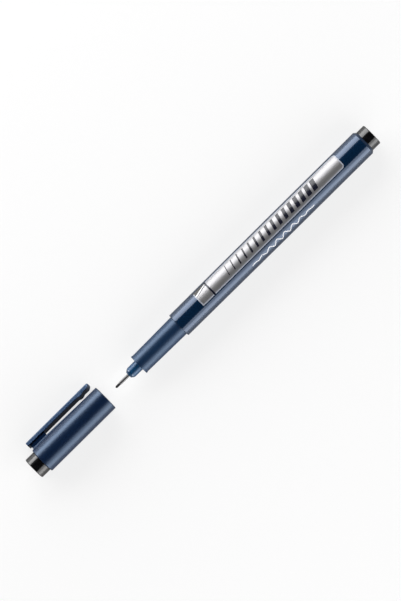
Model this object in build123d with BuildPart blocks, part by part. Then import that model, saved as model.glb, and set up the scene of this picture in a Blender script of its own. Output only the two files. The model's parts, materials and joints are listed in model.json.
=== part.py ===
from build123d import *
import os
from math import asin, atan2, cos, hypot, sin

# Fineliner pen lying on a table, with its cap pulled off and laid in line in front of the nib.
# Lengths are in millimetres. X runs along the pen towards its rear end and Z is up. The origin is
# on the table, under the middle of the whole part.

# Fits
press_gap = 0.02
cap_running_gap = 0.12
reservoir_gap = 0.1

# Barrel: a tube with a straight rear half and a front half that narrows a little
barrel_length = 96.8
barrel_diameter = 10.5
barrel_front_drop = 0.15
barrel_draft_length = 50.0
barrel_front_bevel = 0.2
barrel_end_bevel_length = 0.9
barrel_end_bevel_depth = 0.72
barrel_rib_count = 6
barrel_rib_width = 0.6
barrel_rib_end_gap = 1.0

# Grip section: a tapered nose tube whose spigot is pressed into the barrel
section_length = 20.8
section_drop = 0.25
section_shoulder = 0.28
section_lip_length = 0.7
section_lip_rise = 0.13
section_lip_bevel = 0.1
section_front_wall = 2.0
section_spigot_length = 9.0
section_spigot_wall = 0.8
section_spigot_lead = 0.3

# Nib holder: a stepped bush with its stem in the section and its nose in front
nose_length = 5.3
nose_diameter = 4.4
nose_drop = 0.05
nose_bevel_length = 1.1
nose_bevel_depth = 0.85
nose_step = 0.3
stem_length = 8.0
stem_socket_wall = 0.7
stem_groove_count = 3
stem_groove_width = 0.6
stem_groove_depth = 0.3

# Nib: a fibre rod in a steel tube
tube_length = 4.6
tube_diameter = 1.26
tube_wall = 0.13
tube_seat_length = 6.0
tube_swage_length = 0.6
tube_swage_depth = 0.08
tip_length = 2.05
tip_round_length = 0.75
nib_tail_length = 7.5
nib_point_length = 0.8
nib_point_depth = 0.2

# Ink reservoir: a fibre core in a plastic wrap
wrap_thickness = 0.12
reservoir_end_gap = 0.3

# Plugs: bevelled black ends of the barrel and of the cap
plug_set_in = 0.05
plug_rim_bevel = 0.4
rear_plug_head_length = 3.9
rear_plug_spigot_length = 7.5
rear_plug_spigot_wall = 0.9
rear_plug_floor = 1.6
rear_plug_ridge_count = 2
rear_plug_ridge_pitch = 3.0
rear_plug_ridge_length = 1.2
rear_plug_ridge_crest = 0.3
rear_plug_ridge_height = 0.25
cap_plug_head_length = 4.3
cap_plug_spigot_wall = 1.0
cap_plug_snap_length = 1.0
cap_plug_snap_crest = 0.3
cap_plug_snap_height = 0.28

# Cap: a tube with a moulded clip
cap_wall = 0.85
cap_end_wall = 1.4
cap_tip_room = 0.45
cap_mouth_bevel = 0.2
cap_mouth_lead = 0.25
cap_shoulder_bevel = 0.35
cap_rest_distance = 5.2

# Clip: a straight arm on a foot, with a low rib on the cap under it
clip_height = 3.85
clip_thickness = 1.6
clip_width = 3.4
clip_edge_round = 0.35
clip_tip_inset = 1.25
clip_tip_round = 0.9
clip_lead_length = 1.3
clip_lead_depth = 0.8
clip_bump_length = 2.8
clip_bump_depth = 0.42
clip_bump_offset = 5.1
clip_foot_length = 7.2
clip_foot_inset = 0.75
clip_foot_width = 2.3
clip_root_flare = 0.5
clip_rib_height = 0.6
clip_rib_runout = 1.5

# Cap liner: a flanged sleeve that closes round the nose and nib
liner_seal_gap = 0.15
liner_nose_gap = 0.25
liner_tip_gap = 0.6
liner_sleeve_wall = 0.65
liner_tail_wall = 0.7
liner_front_flange = 1.5
liner_rear_flange = 1.2
liner_lead_length = 0.9
liner_lead_depth = 0.5

# Radii from the outside inwards: the cap is flush with the barrel, the section runs in the cap
# and its shoulder stands on the barrel's front face
barrel_radius = barrel_diameter / 2
barrel_front_radius = barrel_radius - barrel_front_drop
cap_radius = barrel_radius
cap_mouth_radius = cap_radius - cap_wall
section_rear_radius = cap_mouth_radius - cap_running_gap
section_front_radius = section_rear_radius - section_drop
section_lip_radius = section_front_radius + section_lip_rise
cap_seal_radius = section_lip_radius + cap_running_gap
barrel_bore_radius = section_rear_radius - section_shoulder
section_spigot_radius = barrel_bore_radius - press_gap
pocket_radius = section_spigot_radius - section_spigot_wall
wrap_radius = pocket_radius - reservoir_gap
core_radius = wrap_radius - wrap_thickness - press_gap
plug_head_radius = barrel_radius - barrel_end_bevel_depth - plug_set_in

# Radii of the nib, from its holder inwards
nose_radius = nose_diameter / 2
stem_radius = nose_radius - nose_step
stem_bore_radius = stem_radius + press_gap
stem_socket_radius = stem_bore_radius + stem_socket_wall
tube_radius = tube_diameter / 2
tube_bore_radius = tube_radius - tube_wall
nib_radius = tube_bore_radius - press_gap

# Stations along the pen, from the barrel's front face, negative towards the nib
section_front = -section_length
nose_front = section_front - nose_length
tube_front = nose_front - tube_length
tip_front = tube_front - tip_length
tube_back = nose_front + tube_seat_length
stem_back = section_front + stem_length
nib_back = stem_back + nib_tail_length
rear_spigot_front = barrel_length - rear_plug_spigot_length
rear_end = barrel_length + rear_plug_head_length

# Stations along the cap, from its mouth towards its closed end
nib_reach = -tip_front
cap_length = nib_reach + cap_tip_room
cap_end_inside = cap_length - cap_end_wall
cap_plug_inside = cap_end_inside - cap_plug_snap_length
liner_mouth = section_length + liner_seal_gap
nose_reach = liner_mouth + nose_length
liner_tip_end = nib_reach + liner_tip_gap
liner_tail_end = liner_tip_end + liner_tail_wall
cap_end = cap_length + cap_plug_head_length
cap_mouth = tip_front - cap_rest_distance

# Radii of the cap's liner and of the plug that holds it
liner_radius = cap_seal_radius - press_gap
liner_nose_radius = nose_radius + liner_nose_gap
liner_sleeve_radius = liner_nose_radius + liner_sleeve_wall
liner_bore_radius = tube_radius + liner_tip_gap
liner_tail_radius = liner_bore_radius + liner_tail_wall
cap_plug_bore_radius = liner_tail_radius + press_gap
cap_plug_spigot_radius = cap_plug_bore_radius + cap_plug_spigot_wall
cap_hole_radius = cap_plug_spigot_radius + press_gap

# The cap lies on the table on its wall and on the lower edge of its clip, which sets the clip's dip
clip_outer_radius = cap_radius + clip_height
clip_inner_radius = clip_outer_radius - clip_thickness
clip_edge_reach = clip_outer_radius - clip_edge_round
clip_edge_side = clip_width / 2 - clip_edge_round
clip_dip = asin((cap_radius - clip_edge_round) / hypot(clip_edge_reach, clip_edge_side)) - atan2(
    clip_edge_side, clip_edge_reach
)
clip_spread = clip_edge_reach * cos(clip_dip) + clip_edge_side * sin(clip_dip) + clip_edge_round
cap_wall_middle = cap_radius - cap_wall / 2

# Planes: along and across the pen, along the cap, and along and over the clip
axis_height = barrel_radius
axis_side = (barrel_radius - clip_spread) / 2
front_face = -(rear_end + cap_mouth - cap_end) / 2
pen_origin = (front_face, axis_side, axis_height)
cap_origin = (front_face + cap_mouth, axis_side, axis_height)
pen_axis = Axis(pen_origin, (1, 0, 0))
pen_profile = Plane(origin=pen_origin, x_dir=(1, 0, 0), z_dir=(0, -1, 0))
pen_section = Plane(origin=pen_origin, x_dir=(0, 1, 0), z_dir=(1, 0, 0))
cap_profile = Plane(origin=cap_origin, x_dir=(-1, 0, 0), z_dir=(0, 1, 0))
clip_out = (0, cos(clip_dip), -sin(clip_dip))
clip_up = (0, sin(clip_dip), cos(clip_dip))
clip_profile = Plane(origin=cap_origin, x_dir=(-1, 0, 0), z_dir=(0, -clip_up[1], -clip_up[2]))


def spigot_ridge(length, crest, height):
    """Section of a ridge round a spigot, from its steep back along a short crest and down a lead-in slope."""
    Polygon((0, -height), (0, height), (-crest, height), (-length, 0), (-length, -height), align=None)


# Barrel tube with inner ribs that keep the reservoir central
with BuildPart() as barrel:
    with BuildSketch(pen_profile) as barrel_outline:
        with BuildLine():
            Polyline(
                (0, barrel_bore_radius),
                (0, barrel_front_radius),
                (barrel_draft_length, barrel_radius),
                (barrel_length - barrel_end_bevel_length, barrel_radius),
                (barrel_length, barrel_radius - barrel_end_bevel_depth),
                (barrel_length, barrel_bore_radius),
                close=True,
            )
        make_face()
        front_corners = barrel_outline.vertices().group_by(Axis.X)[0]
        chamfer(front_corners.sort_by(Axis.Y)[-1], barrel_front_bevel)
    revolve(axis=pen_axis)
    rib_start = section_spigot_length + barrel_rib_end_gap
    rib_end = rear_spigot_front - barrel_rib_end_gap
    rib_root_radius = (barrel_bore_radius + barrel_front_radius) / 2
    with BuildSketch(pen_section.offset(rib_start)):
        with PolarLocations((pocket_radius + rib_root_radius) / 2, barrel_rib_count):
            Rectangle(rib_root_radius - pocket_radius, barrel_rib_width)
    extrude(amount=rib_end - rib_start)

# Grip section: lip at the front, socket for the nib holder, pocket for the reservoir, spigot behind
with BuildPart() as grip_section:
    with BuildSketch(pen_profile) as section_outline:
        with BuildLine():
            Polyline(
                (section_front, stem_bore_radius),
                (section_front, section_lip_radius),
                (section_front + section_lip_length, section_lip_radius),
                (section_front + section_lip_length, section_front_radius),
                (0, section_rear_radius),
                (0, section_spigot_radius),
                (section_spigot_length, section_spigot_radius),
                (section_spigot_length, pocket_radius),
                (section_front + section_front_wall, pocket_radius),
                (section_front + section_front_wall, stem_socket_radius),
                (stem_back, stem_socket_radius),
                (stem_back, stem_bore_radius),
                close=True,
            )
        make_face()
        lip_corners = section_outline.vertices().filter_by_position(
            Axis.Y, section_lip_radius, section_lip_radius
        )
        chamfer(lip_corners, section_lip_bevel)
        spigot_end = section_outline.vertices().group_by(Axis.X)[-1]
        chamfer(spigot_end.sort_by(Axis.Y)[-1], section_spigot_lead)
    revolve(axis=pen_axis)

# Nib holder: bevelled nose, stem with air grooves, stepped bore for the tube and the nib
with BuildPart() as nib_holder:
    with BuildSketch(pen_profile):
        with BuildLine():
            Polyline(
                (nose_front, tube_radius + press_gap),
                (nose_front, nose_radius - nose_drop - nose_bevel_depth),
                (nose_front + nose_bevel_length, nose_radius - nose_drop),
                (section_front, nose_radius),
                (section_front, stem_radius),
                (stem_back, stem_radius),
                (stem_back, nib_radius + press_gap),
                (tube_back, nib_radius + press_gap),
                (tube_back, tube_radius + press_gap),
                close=True,
            )
        make_face()
    revolve(axis=pen_axis)
    with BuildSketch(pen_section.offset(section_front)):
        with PolarLocations(stem_radius, stem_groove_count):
            Rectangle(2 * stem_groove_depth, stem_groove_width)
    extrude(amount=stem_length, mode=Mode.SUBTRACT)

# Steel tube, swaged in at its front end
with BuildPart() as nib_tube:
    with BuildSketch(pen_profile):
        with BuildLine():
            Polyline(
                (tube_front, tube_bore_radius),
                (tube_front, tube_radius - tube_swage_depth),
                (tube_front + tube_swage_length, tube_radius),
                (tube_back, tube_radius),
                (tube_back, tube_bore_radius),
                close=True,
            )
        make_face()
    revolve(axis=pen_axis)

# Fibre nib: rounded writing tip in front, pointed tail that pierces the reservoir behind
with BuildPart() as fibre_nib:
    with BuildSketch(pen_profile):
        with BuildLine():
            bullet = EllipticalCenterArc(
                (tip_front + tip_round_length, 0), tip_round_length, nib_radius, 90, arc_size=90
            )
            Polyline(
                bullet @ 0,
                (nib_back - nib_point_length, nib_radius),
                (nib_back, nib_radius - nib_point_depth),
                (nib_back, 0),
                bullet @ 1,
            )
        make_face()
    revolve(axis=pen_axis)

# Fibre core of the reservoir, pierced by the nib's tail
with BuildPart() as ink_reservoir:
    with BuildSketch(pen_profile):
        with BuildLine():
            Polyline(
                (stem_back, nib_radius + press_gap),
                (stem_back, core_radius),
                (rear_spigot_front - reservoir_end_gap, core_radius),
                (rear_spigot_front - reservoir_end_gap, 0),
                (nib_back + reservoir_gap, 0),
                (nib_back + reservoir_gap, nib_radius + press_gap),
                close=True,
            )
        make_face()
    revolve(axis=pen_axis)

# Plastic wrap round the reservoir's core
with BuildPart() as reservoir_wrap:
    with BuildSketch(pen_section.offset(stem_back)):
        Circle(wrap_radius)
        Circle(wrap_radius - wrap_thickness, mode=Mode.SUBTRACT)
    extrude(amount=rear_spigot_front - reservoir_end_gap - stem_back)

# Rear plug: head on the barrel's end, hollow spigot with sealing ridges inside it
with BuildPart() as rear_plug:
    rear_spigot_radius = barrel_bore_radius - press_gap - rear_plug_ridge_height
    rear_plug_bore_radius = rear_spigot_radius - rear_plug_spigot_wall
    with BuildSketch(pen_profile) as rear_plug_outline:
        with BuildLine():
            Polyline(
                (rear_end, 0),
                (rear_end, plug_head_radius),
                (barrel_length, plug_head_radius),
                (barrel_length, rear_spigot_radius),
                (rear_spigot_front, rear_spigot_radius),
                (rear_spigot_front, rear_plug_bore_radius),
                (rear_end - rear_plug_floor, rear_plug_bore_radius),
                (rear_end - rear_plug_floor, 0),
                close=True,
            )
        make_face()
        rear_corners = rear_plug_outline.vertices().group_by(Axis.X)[-1]
        chamfer(rear_corners.sort_by(Axis.Y)[-1], plug_rim_bevel)
    revolve(axis=pen_axis)
    with BuildSketch(pen_profile):
        ridge_middle = barrel_length - (rear_plug_spigot_length - rear_plug_ridge_length) / 2
        with Locations((ridge_middle, rear_spigot_radius)):
            with GridLocations(rear_plug_ridge_pitch, 0, rear_plug_ridge_count, 1):
                spigot_ridge(rear_plug_ridge_length, rear_plug_ridge_crest, rear_plug_ridge_height)
    revolve(axis=pen_axis)

# Cap: clip arm, foot and rib first, then the tube that carries them
with BuildPart() as cap_shell:
    clip_lead_start = clip_tip_inset + clip_lead_length
    bump_middle = clip_tip_inset + clip_bump_offset
    bump_start = bump_middle - clip_bump_length / 2
    bump_end = bump_middle + clip_bump_length / 2
    foot_back = cap_length - clip_foot_inset
    foot_front = foot_back - clip_foot_length
    with BuildSketch(clip_profile):
        with BuildLine():
            inner_edge = Line((clip_lead_start, clip_inner_radius), (bump_start, clip_inner_radius))
            bump = ThreePointArc(
                inner_edge @ 1,
                (bump_middle, clip_inner_radius - clip_bump_depth),
                (bump_end, clip_inner_radius),
            )
            Polyline(
                bump @ 1,
                (cap_length, clip_inner_radius),
                (cap_length, clip_outer_radius),
                (clip_tip_inset, clip_outer_radius),
                (clip_tip_inset, clip_inner_radius + clip_lead_depth),
                inner_edge @ 0,
            )
        make_face()
    extrude(amount=clip_width / 2, both=True)
    tip_faces = cap_shell.faces().filter_by(Axis.X).sort_by(Axis.X)
    fillet(tip_faces[-1].edges().filter_by(Axis((0, 0, 0), clip_out)), clip_tip_round)
    outer_face = cap_shell.faces().sort_by(Axis(cap_origin, clip_out))[-1]
    fillet(outer_face.edges(), clip_edge_round)
    with BuildSketch(clip_profile):
        with BuildLine():
            Polyline(
                (foot_front, cap_wall_middle),
                (foot_back, cap_wall_middle),
                (foot_back, clip_inner_radius + clip_thickness / 2),
                (foot_front - clip_root_flare, clip_inner_radius + clip_thickness / 2),
                (foot_front - clip_root_flare, clip_inner_radius),
                (foot_front, clip_inner_radius - clip_root_flare),
                close=True,
            )
        make_face()
    extrude(amount=clip_foot_width / 2, both=True)
    with BuildSketch(clip_profile):
        with BuildLine():
            Polyline(
                (clip_rib_runout, cap_wall_middle),
                (foot_back, cap_wall_middle),
                (foot_back, cap_radius + clip_rib_height),
                (foot_front, cap_radius + clip_rib_height),
                (clip_rib_runout, cap_radius),
                close=True,
            )
        make_face()
    extrude(amount=clip_foot_width / 2, both=True)
    with BuildSketch(cap_profile) as cap_outline:
        with BuildLine():
            Polyline(
                (0, cap_mouth_radius),
                (0, cap_radius),
                (cap_length, cap_radius),
                (cap_length, cap_hole_radius),
                (cap_end_inside, cap_hole_radius),
                (cap_end_inside, cap_seal_radius),
                (liner_mouth, cap_seal_radius),
                (liner_mouth, cap_mouth_radius),
                close=True,
            )
        make_face()
        mouth_corners = cap_outline.vertices().group_by(Axis.X)[0].sort_by(Axis.Y)
        end_corners = cap_outline.vertices().group_by(Axis.X)[-1].sort_by(Axis.Y)
        chamfer(mouth_corners[-1], cap_mouth_bevel)
        chamfer(end_corners[-1], cap_shoulder_bevel)
        chamfer(mouth_corners[0], cap_mouth_lead)
    revolve(axis=pen_axis)

# Cap plug: head on the cap's end, snapped in behind the end wall by a ridge
with BuildPart() as cap_plug:
    with BuildSketch(cap_profile) as cap_plug_outline:
        with BuildLine():
            Polyline(
                (cap_end, 0),
                (cap_end, plug_head_radius),
                (cap_length, plug_head_radius),
                (cap_length, cap_plug_spigot_radius),
                (cap_plug_inside, cap_plug_spigot_radius),
                (cap_plug_inside, cap_plug_bore_radius),
                (liner_tail_end + press_gap, cap_plug_bore_radius),
                (liner_tail_end + press_gap, 0),
                close=True,
            )
        make_face()
        plug_corners = cap_plug_outline.vertices().group_by(Axis.X)[-1]
        chamfer(plug_corners.sort_by(Axis.Y)[-1], plug_rim_bevel)
    revolve(axis=pen_axis)
    with BuildSketch(cap_profile):
        with Locations((cap_end_inside - press_gap, cap_plug_spigot_radius)):
            spigot_ridge(cap_plug_snap_length - press_gap, cap_plug_snap_crest, cap_plug_snap_height)
    revolve(axis=pen_axis)

# Cap liner: flanged sleeve with a closed tail that reaches into the plug
with BuildPart() as cap_liner:
    with BuildSketch(cap_profile):
        with BuildLine():
            Polyline(
                (liner_mouth, liner_nose_radius + liner_lead_depth),
                (liner_mouth, liner_radius),
                (liner_mouth + liner_front_flange, liner_radius),
                (liner_mouth + liner_front_flange, liner_sleeve_radius),
                (cap_plug_inside - liner_rear_flange, liner_sleeve_radius),
                (cap_plug_inside - liner_rear_flange, liner_radius),
                (cap_plug_inside, liner_radius),
                (cap_plug_inside, liner_tail_radius),
                (liner_tail_end, liner_tail_radius),
                (liner_tail_end, 0),
                (liner_tip_end, 0),
                (liner_tip_end, liner_bore_radius),
                (nose_reach, liner_bore_radius),
                (nose_reach, liner_nose_radius),
                (liner_mouth + liner_lead_length, liner_nose_radius),
                close=True,
            )
        make_face()
    revolve(axis=pen_axis)

barrel.part.label = "barrel"
grip_section.part.label = "grip_section"
nib_holder.part.label = "nib_holder"
nib_tube.part.label = "nib_tube"
fibre_nib.part.label = "fibre_nib"
ink_reservoir.part.label = "ink_reservoir"
reservoir_wrap.part.label = "reservoir_wrap"
rear_plug.part.label = "rear_plug"
cap_shell.part.label = "cap_shell"
cap_plug.part.label = "cap_plug"
cap_liner.part.label = "cap_liner"

os.makedirs("parts", exist_ok=True)
export_step(barrel.part, "parts/barrel.step")
export_step(grip_section.part, "parts/grip_section.step")
export_step(nib_holder.part, "parts/nib_holder.step")
export_step(nib_tube.part, "parts/nib_tube.step")
export_step(fibre_nib.part, "parts/fibre_nib.step")
export_step(ink_reservoir.part, "parts/ink_reservoir.step")
export_step(reservoir_wrap.part, "parts/reservoir_wrap.step")
export_step(rear_plug.part, "parts/rear_plug.step")
export_step(cap_shell.part, "parts/cap_shell.step")
export_step(cap_plug.part, "parts/cap_plug.step")
export_step(cap_liner.part, "parts/cap_liner.step")
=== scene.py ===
import json
from math import asin, atan2, ceil, cos, hypot, pi, radians, sin, tan

import bmesh
import bpy
import numpy as np
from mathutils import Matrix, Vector


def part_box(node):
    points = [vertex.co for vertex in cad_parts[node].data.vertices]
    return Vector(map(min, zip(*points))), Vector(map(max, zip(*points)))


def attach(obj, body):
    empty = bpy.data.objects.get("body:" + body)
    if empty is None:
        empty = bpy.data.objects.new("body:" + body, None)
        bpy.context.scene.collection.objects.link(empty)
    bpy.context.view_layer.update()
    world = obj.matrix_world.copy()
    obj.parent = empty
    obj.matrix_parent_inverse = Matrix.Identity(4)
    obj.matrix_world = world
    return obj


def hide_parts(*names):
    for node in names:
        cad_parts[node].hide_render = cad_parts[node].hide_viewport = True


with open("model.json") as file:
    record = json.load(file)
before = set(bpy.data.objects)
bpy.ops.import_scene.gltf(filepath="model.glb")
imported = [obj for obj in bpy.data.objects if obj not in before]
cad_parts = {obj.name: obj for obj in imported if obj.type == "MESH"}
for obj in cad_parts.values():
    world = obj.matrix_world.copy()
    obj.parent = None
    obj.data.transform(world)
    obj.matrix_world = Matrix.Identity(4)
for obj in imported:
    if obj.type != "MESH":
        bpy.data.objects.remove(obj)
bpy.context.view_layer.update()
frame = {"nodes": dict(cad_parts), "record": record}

# A fineliner pen lying with its cap off. Sizes are in millimetres, in the frame of the CAD model: X runs
# along the pen towards its rear end, Y towards the cap's clip and Z up from the table.
MM = 0.001


def span(node):
    """Lowest and highest station of a CAD node along the pen."""
    low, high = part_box(node)
    return low.x / MM, high.x / MM


hold = next(mount for mount in frame["record"]["mounts"] if mount["name"] == "barrel_hold")
AXIS_Y, AXIS_Z = (place / MM for place in hold["pos_m"][1:])
PRESS_GAP = 0.02

# Barrel
BARREL_FRONT, BARREL_BACK = span("barrel")
BARREL_RADIUS = hold["dims"]["r_mm"]
BARREL_BORE = 4.0
BARREL_DRAFT_LENGTH = 50.0
BARREL_DRAFT_DEPTH = 0.15
BARREL_FRONT_RADIUS = BARREL_RADIUS - BARREL_DRAFT_DEPTH
BARREL_FRONT_ROUND = 0.3
BARREL_BEVEL_LENGTH = 0.9
BARREL_BEVEL_DEPTH = 0.72
BARREL_BEVEL_ROUND = 0.2
BARREL_END_ROUND = 0.1

# Grip section
SECTION_FRONT, SPIGOT_BACK = span("grip_section")
SECTION_REAR_RADIUS = 4.28
SECTION_FRONT_RADIUS = 4.03
SECTION_LIP_RADIUS = 4.16
SECTION_LIP_LENGTH = 0.7
SECTION_LIP_ROUND = 0.12
SECTION_LIP_BACK_ROUND = 0.1
SECTION_LIP_ROOT_ROUND = 0.03
SECTION_FRONT_WALL = 2.0
SPIGOT_RADIUS = BARREL_BORE - PRESS_GAP
SPIGOT_ROUND = 0.2
POCKET_RADIUS = 3.18
SOCKET_RADIUS = 2.62

# Nib holder, tube and nib
NOSE_FRONT, STEM_BACK = span("nib_holder")
NOSE_RADIUS = 2.2
NOSE_DROP = 0.05
NOSE_SEAT_ROUND = 0.05
NOSE_FRONT_ROUND = 0.3
NOSE_BEVEL_LENGTH = 1.1
NOSE_BEVEL_DEPTH = 0.85
NOSE_BEVEL_ROUND = 1.3
NOSE_POLISH_FADE = 0.4
STEM_RADIUS = 1.9
STEM_BORE = STEM_RADIUS + PRESS_GAP
TUBE_FRONT, TUBE_BACK = span("nib_tube")
TUBE_RADIUS = 0.63
TUBE_BORE = 0.5
TUBE_SEAT = TUBE_RADIUS + PRESS_GAP
TUBE_END_ROUND = 0.03
TUBE_SWAGE_LENGTH = 0.6
TUBE_SWAGE_DEPTH = 0.08
TUBE_SWAGE_ROUND = 1.5
NIB_FRONT, NIB_BACK = span("fibre_nib")
NIB_RADIUS = TUBE_BORE - PRESS_GAP
NIB_SEAT = NIB_RADIUS + PRESS_GAP
NIB_ROUND_LENGTH = 0.75
NIB_POINT_LENGTH = 0.8
NIB_POINT_DEPTH = 0.2

# Plugs
REAR_SPIGOT_FRONT, REAR_END = span("rear_plug")
REAR_SPIGOT_RADIUS = BARREL_BORE - PRESS_GAP
REAR_PLUG_BORE = 2.83
REAR_PLUG_FLOOR = 1.6
PLUG_RADIUS = 4.48
PLUG_ROUND = 0.45
PLUG_BASE_ROUND = 0.2

# Cap, with stations counted from its mouth towards its closed end
CAP_BACK, CAP_MOUTH = span("cap_shell")
CAP_LENGTH = CAP_MOUTH - CAP_BACK
CAP_RADIUS = BARREL_RADIUS
CAP_MOUTH_RADIUS = 4.4
CAP_MOUTH_LEAD_ROUND = 0.2
CAP_MOUTH_ROUND = 0.22
CAP_SHOULDER_ROUND = 0.42
CAP_SEAL_RADIUS = 4.28
CAP_HOLE_RADIUS = 2.97
CAP_END_WALL = 1.4
CAP_WALL_MIDDLE = (CAP_RADIUS + CAP_MOUTH_RADIUS) / 2
CAP_END = CAP_MOUTH - span("cap_plug")[0]
CAP_PLUG_INSIDE = CAP_MOUTH - span("cap_plug")[1]
CAP_PLUG_SPIGOT_RADIUS = CAP_HOLE_RADIUS - PRESS_GAP

# Cap liner
LINER_MOUTH = CAP_MOUTH - span("cap_liner")[1]
LINER_BACK = CAP_MOUTH - span("cap_liner")[0]
LINER_RADIUS = CAP_SEAL_RADIUS - PRESS_GAP
LINER_RIM_ROUND = 0.1
LINER_NOSE_RADIUS = 2.45
LINER_NOSE_DEPTH = 5.3
LINER_SLEEVE_RADIUS = 3.1
LINER_BORE = 1.23
LINER_TAIL_WALL = 0.7
LINER_TAIL_RADIUS = LINER_BORE + LINER_TAIL_WALL
LINER_TAIL_ROUND = 0.15
LINER_FRONT_FLANGE = 1.5
LINER_REAR_FLANGE = 1.2
LINER_LEAD_LENGTH = 0.9
LINER_LEAD_DEPTH = 0.5
LINER_LEAD_ROUND = 0.15
LINER_LEAD_END_ROUND = 0.4
CAP_PLUG_BORE = LINER_TAIL_RADIUS + PRESS_GAP

# Clip, in the plane that leans from the pen's axis to the table
CLIP_HEIGHT = 3.85
CLIP_OUTER = CAP_RADIUS + CLIP_HEIGHT
CLIP_THICKNESS = 1.6
CLIP_INNER = CLIP_OUTER - CLIP_THICKNESS
CLIP_WIDTH = 3.4
CLIP_EDGE_ROUND = 0.35
CLIP_INNER_ROUND = (0.15, 0.15)
CLIP_CROWN = (0.38, 0.3)
CLIP_TIP = 1.25
CLIP_TIP_ROUND = 0.9
CLIP_LEAD_LENGTH = 1.3
CLIP_LEAD_DEPTH = 0.8
CLIP_BUMP_OFFSET = 5.1
CLIP_BUMP = CLIP_TIP + CLIP_BUMP_OFFSET
CLIP_BUMP_HALF = 1.4
CLIP_BUMP_DEPTH = 0.42
FOOT_INSET = 0.75
FOOT_LENGTH = 7.2
FOOT_BACK = CAP_LENGTH - FOOT_INSET
FOOT_FRONT = FOOT_BACK - FOOT_LENGTH
FOOT_HALF_WIDTH = 1.15
FOOT_WALL_HALF_WIDTH = 0.75
FOOT_FLARE = 0.5
FOOT_ROUND = (0.2, 0.2)
RIB_START = 1.5
RIB_HEIGHT = 0.6
RIB_ROOT_ROUND = (0.05, 0.05)
RIB_ROUND = (0.2, 0.3)



def clip_dip():
    """Angle by which the clip leans to the table when the cap lies on its wall and on the clip's lower edge:
    the angle that brings the centre of the edge's round down to that round's size above the table, less the
    centre's own angle from the clip's plane."""
    reach = CLIP_OUTER - CLIP_EDGE_ROUND
    side = CLIP_WIDTH / 2 - CLIP_EDGE_ROUND
    drop = CAP_RADIUS - CLIP_EDGE_ROUND
    return asin(drop / hypot(reach, side)) - atan2(side, reach)


CLIP_DIP = clip_dip()

# Print on the barrel: stations from the barrel's front face, and degrees from its top line towards the side
# that the clip is on
PRINT_SINK = 0.03
PRINT_LIFT = 0.02
MARK_LIFT = 0.035
LINE_LIFT = 0.045
LINE_STEP = 0.15
BORDER_INSET = 0.03
BORDER_WIDTH = 0.42
CUT_LINE_WIDTH = 0.42
CUT_LINE_GAP = 0.05
PANEL_LOW = -15.4
PANEL_HIGH = 62.5
FRONT_BLOCK = (11.6, 17.35)
FRONT_CUT = (36.0, 55.0)
DIVIDER = (17.4, 18.05)
DIVIDER_PAST_LOW = 1.0
DIVIDER_PAST_HIGH = 2.0
MAIN_PANEL = (18.1, 85.1)
MAIN_PANEL_CORNER = 1.3
STROKE_COUNT = 16
STROKE_FROM = 27.0
STROKE_PITCH = 3.0
STROKE_WIDTHS = (0.35, 2.1)
STROKE_ANGLES = (0.0, 48.0)
STROKE_SLANT = 1.0
WAVE_SPAN = (35.0, 67.0)
WAVE_ANGLE = -44.0
WAVE_SWING = 9.0
WAVE_COUNT = 8
WAVE_WIDTH = 0.38

# Mesh fineness: lengths in millimetres, angles in radians, and counts of rings or points
SPOKES = 160
RING_STEP = 2.0
RING_SUPPORT = 0.04
ARC_STEP = radians(11)
SMALLEST_TURN = radians(1)
SHARP_ANGLE = radians(32)
WELD_DISTANCE = 1e-5
CLIP_LEAD_RING = 1.0
BOX_CORNER_POINTS = 9
NIB_TIP_RINGS = 14
CLIP_TIP_RINGS = 12
CLIP_BUMP_RINGS = 25
CLIP_ARM_RINGS = 14
CLIP_TAIL_RINGS = 7
FOOT_WALL_RINGS = 12
FOOT_FLARE_RINGS = 8
RIB_RINGS = 32
PANEL_RINGS = 40
PANEL_CORNER_RINGS = 14
BLOCK_RINGS = 12
DIVIDER_RINGS = 4
BAND_POINTS = 40
LINE_POINTS = 4
STROKE_POINTS = 24
STROKE_RINGS = 5
WAVE_POINTS = 400

# The largest share of a box's side that one corner's round takes
BOX_ROUND_SHARE = 0.47

# Finishes: two shades of each, the darker one first, the table's shade to the camera, the colour that the
# navy mouldings give to a reflection, and how rough the satin ones are
BARREL_SHADES = ((0.001, 0.0105, 0.032), (0.0016, 0.0145, 0.043))
SECTION_SHADES = ((0.0032, 0.017, 0.048), (0.0048, 0.022, 0.062))
CAP_SHADES = ((0.0018, 0.0095, 0.032), (0.003, 0.0125, 0.042))
# Painted light: the clip arm's shades are a bluer, lighter copy of the cap's navy moulding, standing in for
# light falling on and through the thin arm
CLIP_PAINTED_LIGHT_SHADES = ((0.0035, 0.022, 0.068), (0.005, 0.028, 0.084))
NOSE_SHADES = ((0.0018, 0.034, 0.095), (0.003, 0.044, 0.115))
PLUG_SHADES = ((0.0022, 0.0022, 0.0028), (0.005, 0.005, 0.006))
STEEL_SHADES = ((0.1, 0.1, 0.103), (0.14, 0.14, 0.144))
NIB_SHADES = ((0.004, 0.004, 0.005), (0.02, 0.02, 0.024))
CORE_SHADES = ((0.01, 0.01, 0.014), (0.05, 0.05, 0.06))
FILM_SHADES = ((0.62, 0.63, 0.64), (0.72, 0.72, 0.72))
LINER_SHADES = ((0.5, 0.5, 0.47), (0.62, 0.62, 0.6))
SILVER_SHADES = ((0.275, 0.273, 0.282), (0.372, 0.367, 0.379))
SILVER_GREY_SHADES = ((0.1, 0.1, 0.105), (0.14, 0.14, 0.145))
SILVER_LINE_SHADES = ((0.5, 0.5, 0.51), (0.6, 0.6, 0.61))
SILVER_CORNER_SHADES = ((0.07, 0.068, 0.066), (0.1, 0.098, 0.096))
PALE_INK_SHADES = ((0.34, 0.365, 0.42), (0.39, 0.415, 0.48))
DARK_INK_SHADES = ((0.004, 0.005, 0.012), (0.008, 0.01, 0.022))
WHITE_INK_SHADES = ((0.7, 0.72, 0.76), (0.8, 0.81, 0.83))
TABLE_SHADES = ((0.4, 0.4, 0.4), (0.43, 0.43, 0.43))
TABLE_TO_CAMERA = (0.95, 0.95, 0.95)
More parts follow.
